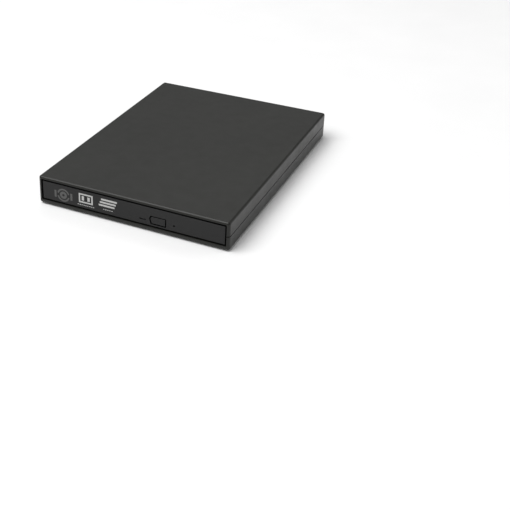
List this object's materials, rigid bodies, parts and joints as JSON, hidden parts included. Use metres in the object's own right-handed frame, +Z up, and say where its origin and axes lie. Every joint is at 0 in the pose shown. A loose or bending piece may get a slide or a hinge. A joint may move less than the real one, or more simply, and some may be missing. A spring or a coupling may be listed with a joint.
{
  "type": "external optical drive",
  "caption": "Slim black desktop enclosure around a tray-loading disc drive, with a sliding tray, an eject button, a spindle and a pickup sled.",
  "frame": {"origin": "on the table, under the middle of the enclosure's box", "axes": "+Z up, -Y out of the tray's front, +X to the right as seen from the front"},
  "size_m": [0.134, 0.181, 0.02],
  "materials": {
    "case_plastic": "fine-textured satin black ABS",
    "bezel_plastic": "satin black ABS",
    "tray_plastic": "satin black polycarbonate blend",
    "guide_plastic": "natural acetal",
    "sheet_steel": "zinc-coated steel sheet",
    "ground_steel": "ground and polished rod",
    "screw_steel": "black-zinc screw",
    "soft_rubber": "matt rubber",
    "green_board": "glass-epoxy board with green mask",
    "chip_epoxy": "moulded epoxy",
    "component_metal": "satin aluminium can",
    "connector_plastic": "black glass-filled plastic",
    "connector_gold": "gold-plated brass",
    "copper_coil": "varnished copper winding",
    "sled_metal": "die-cast zinc, blasted",
    "magnet_metal": "nickel-plated magnet",
    "clear_plastic": "clear light guide",
    "lens_glass": "coated moulded lens",
    "lens_plastic": "liquid-crystal polymer",
    "hub_plastic": "black moulded hub",
    "flex_film": "polyester flat cable"
  },
  "bodies": {
    "enclosure": {"top_shell": "case_plastic", "bottom_shell": "case_plastic", "rubber_feet": "soft_rubber", "case_screws": "screw_steel", "drive_screws": "screw_steel", "bridge_board": "green_board", "board_screws": "screw_steel", "bridge_chip": "chip_epoxy", "board_components": "component_metal", "usb_socket_shell": "sheet_steel", "usb_socket_insert": "connector_plastic", "power_jack": "connector_plastic", "power_jack_pin": "connector_gold", "drive_connector_plug": "connector_plastic", "drive_connector_socket": "connector_plastic", "drive_pan": "sheet_steel", "drive_cover": "sheet_steel", "cover_screws": "screw_steel", "right_guide": "guide_plastic", "left_guide": "guide_plastic", "latch_strike_pin": "ground_steel", "main_board": "green_board", "ejector_housing": "guide_plastic", "ejector_spring": "ground_steel", "flex_cable": "flex_film"},
    "tray": {"disc_tray": "tray_plastic", "bezel": "bezel_plastic", "tact_switch": "connector_plastic", "status_led": "clear_plastic", "light_pipe": "clear_plastic", "front_board": "green_board", "tray_bottom_cover": "sheet_steel", "tray_screws": "screw_steel", "tray_board": "green_board", "latch_spring": "ground_steel", "solenoid": "copper_coil", "spindle_base": "sheet_steel", "spindle_stator": "copper_coil", "traverse_plate": "sheet_steel", "rod_holders": "tray_plastic", "main_guide_rod": "ground_steel", "sub_guide_rod": "ground_steel", "sled_motor": "sheet_steel", "vibration_dampers": "soft_rubber"},
    "left_slider": {"left_rail": "ground_steel"},
    "right_slider": {"right_rail": "ground_steel"},
    "ejector": {"ejector_plunger": "guide_plastic"},
    "eject_button": {"eject_button": "bezel_plastic", "switch_plunger": "guide_plastic"},
    "latch": {"latch_lever": "guide_plastic"},
    "solenoid_core": {"solenoid_plunger": "ground_steel"},
    "spindle": {"spindle_rotor": "sheet_steel", "turntable": "hub_plastic", "turntable_ring": "soft_rubber", "hub_balls": "ground_steel"},
    "sled": {"pickup_sled": "sled_metal", "actuator_magnets": "magnet_metal"},
    "lens_carrier": {"lens_holder": "lens_plastic", "objective_lens": "lens_glass"},
    "feed_screw": {"lead_screw": "ground_steel"}
  },
  "joints": [
    {"name": "tray_slide", "type": "slide", "parent": "enclosure", "child": "tray", "axis": [0, -1, 0], "range_m": [0, 0.128], "deforming": ["flex_cable", "ejector_spring"]},
    {"name": "left_rail_slide", "type": "slide", "parent": "enclosure", "child": "left_slider", "axis": [0, -1, 0], "range_m": [0, 0.064]},
    {"name": "right_rail_slide", "type": "slide", "parent": "enclosure", "child": "right_slider", "axis": [0, -1, 0], "range_m": [0, 0.064]},
    {"name": "ejector_slide", "type": "slide", "parent": "enclosure", "child": "ejector", "axis": [0, -1, 0], "range_m": [0, 0.008]},
    {"name": "eject_button_press", "type": "slide", "parent": "tray", "child": "eject_button", "axis": [0, 1, 0], "range_m": [0, 0.0007], "stiffness_N_per_m": 400},
    {"name": "latch_turn", "type": "hinge", "parent": "tray", "child": "latch", "pos_m": [0.042, -0.06, 0.0066], "axis": [0, 0, 1], "range_deg": [0, 8]},
    {"name": "solenoid_slide", "type": "slide", "parent": "tray", "child": "solenoid_core", "axis": [0, -1, 0], "range_m": [0, 0.00162], "stiffness_N_per_m": 15},
    {"name": "spindle_spin", "type": "hinge", "parent": "tray", "child": "spindle", "pos_m": [0, -0.026, 0.0094], "axis": [0, 0, 1], "continuous": true},
    {"name": "sled_slide", "type": "slide", "parent": "tray", "child": "sled", "axis": [-0.7071, -0.7071, 0], "range_m": [0, 0.034]},
    {"name": "lead_screw_spin", "type": "hinge", "parent": "tray", "child": "feed_screw", "pos_m": [-0.03571, -0.03272, 0.007], "axis": [-0.7071, -0.7071, 0], "range_deg": [0, 4081]},
    {"name": "lens_focus", "type": "slide", "parent": "sled", "child": "lens_carrier", "axis": [0, 0, 1], "range_m": [-0.0004, 0.0004], "stiffness_N_per_m": 30}
  ],
  "couplings": [
    {"joint": "left_rail_slide", "follows": "tray_slide", "ratio": 0.5},
    {"joint": "right_rail_slide", "follows": "tray_slide", "ratio": 0.5},
    {"joint": "ejector_slide", "follows": "tray_slide", "ratio": 0.0625},
    {"joint": "latch_turn", "follows": "solenoid_slide", "rad_per_m": 86.18},
    {"joint": "lead_screw_spin", "follows": "sled_slide", "rad_per_m": 2094.4}
  ]
}
